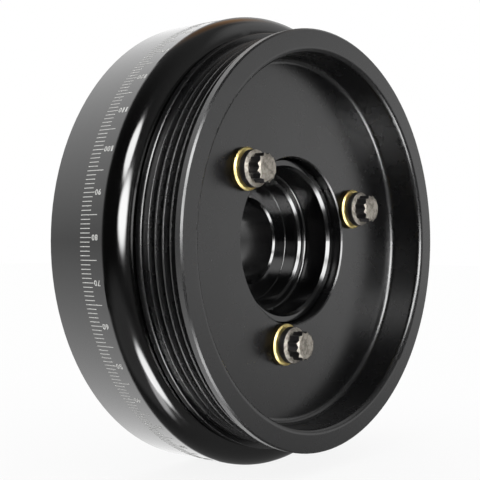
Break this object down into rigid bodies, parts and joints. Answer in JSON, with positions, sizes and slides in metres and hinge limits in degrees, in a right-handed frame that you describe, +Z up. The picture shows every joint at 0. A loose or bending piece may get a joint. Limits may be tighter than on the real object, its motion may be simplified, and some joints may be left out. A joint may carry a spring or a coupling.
{
  "type": "harmonic balancer",
  "caption": "Elastomer-ring crankshaft damper: drum with a degree scale, a stepped hub bore and a dished V-rib belt pulley bolted to its front.",
  "frame": {"origin": "on the crank axis, in the plane of the hub's rear end", "axes": "+Y along the crank axis towards the engine, +Z up; the zero of the degree scale and the keyway are at 259.24 degrees from +X towards +Z"},
  "size_m": [0.1798, 0.0817, 0.1798],
  "materials": {
    "black_anodised": "satin black anodised, fine turning marks",
    "pulley_anodised": "satin black anodised, fine turning marks",
    "black_oxide_steel": "black oxide, ground",
    "bright_steel": "forged head, lightly pitted",
    "yellow_zinc": "pale yellow chromate over zinc",
    "black_screw_steel": "black oxide",
    "ring_steel": "turned",
    "elastomer": "matt"
  },
  "bodies": {
    "root": {"crank_hub": "black_oxide_steel", "outer_shell": "black_anodised", "inner_shell": "black_anodised", "inertia_ring": "ring_steel", "pulley": "pulley_anodised", "cover_screws": "black_screw_steel", "front_inner_elastomer": "elastomer", "front_outer_elastomer": "elastomer", "back_inner_elastomer": "elastomer", "back_outer_elastomer": "elastomer", "front_rim_elastomer": "elastomer", "back_rim_elastomer": "elastomer", "hub_bolt_1": "black_screw_steel", "hub_bolt_2": "black_screw_steel", "hub_bolt_3": "black_screw_steel", "hub_bolt_4": "black_screw_steel", "hub_bolt_5": "black_screw_steel", "hub_bolt_6": "black_screw_steel", "pulley_bolt_1": "bright_steel", "pulley_washer_1": "yellow_zinc", "pulley_bolt_2": "bright_steel", "pulley_washer_2": "yellow_zinc", "pulley_bolt_3": "bright_steel", "pulley_washer_3": "yellow_zinc"}
  },
  "joints": []
}
